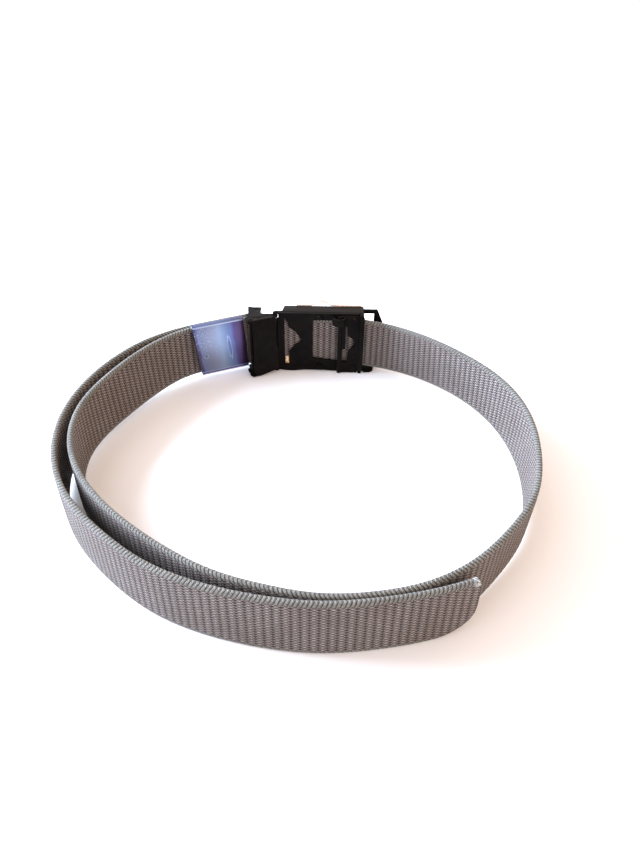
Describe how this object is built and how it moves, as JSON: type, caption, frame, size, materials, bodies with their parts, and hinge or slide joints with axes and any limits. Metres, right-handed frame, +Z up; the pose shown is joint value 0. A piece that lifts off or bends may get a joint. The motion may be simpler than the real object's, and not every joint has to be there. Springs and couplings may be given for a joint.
{
  "type": "automatic buckle belt",
  "caption": "Ribbed webbing belt standing on edge as a closed loop, with a black automatic buckle, a metal strap tip and a long free end.",
  "frame": {"origin": "centre of the bounding box at the surface that the belt stands on", "axes": "+Z up, along the webbing's width; +Y from the front of the loop towards the buckle; +X along the buckle, to the right as seen from inside the loop"},
  "size_m": [0.2778, 0.2518, 0.05],
  "materials": {
    "webbing": "ribbed weave",
    "black_metal": "satin",
    "filmed_steel": "polished under a blue film",
    "brass": "dull",
    "clear_film": "thin clear film"
  },
  "bodies": {
    "belt": {"webbing_strap": "webbing", "belt_tip": "filmed_steel", "left_bracket": "black_metal", "bracket_bar": "black_metal", "release_pin": "black_metal", "coupling_pin_top": "black_metal", "coupling_pin_bottom": "black_metal", "buckle_frame": "black_metal", "rear_plate": "black_metal", "spring_end": "brass", "flap_pin": "black_metal", "front_film": "clear_film", "plate_rivet_top": "black_metal", "plate_rivet_bottom": "black_metal"},
    "flap": {"lock_flap": "black_metal", "flap_rivet_top": "black_metal", "flap_rivet_bottom": "black_metal"},
    "release": {"release_plate": "black_metal"}
  },
  "joints": [
    {"name": "flap_hinge", "type": "hinge", "parent": "belt", "child": "flap", "pos_m": [0.04149, 0.10919, 0.02404], "axis": [0, 0, 1], "range_deg": [0, 55]},
    {"name": "release_hinge", "type": "hinge", "parent": "belt", "child": "release", "pos_m": [-0.03579, 0.1028, 0.02404], "axis": [0, 0, -1], "range_deg": [0, 35]}
  ]
}
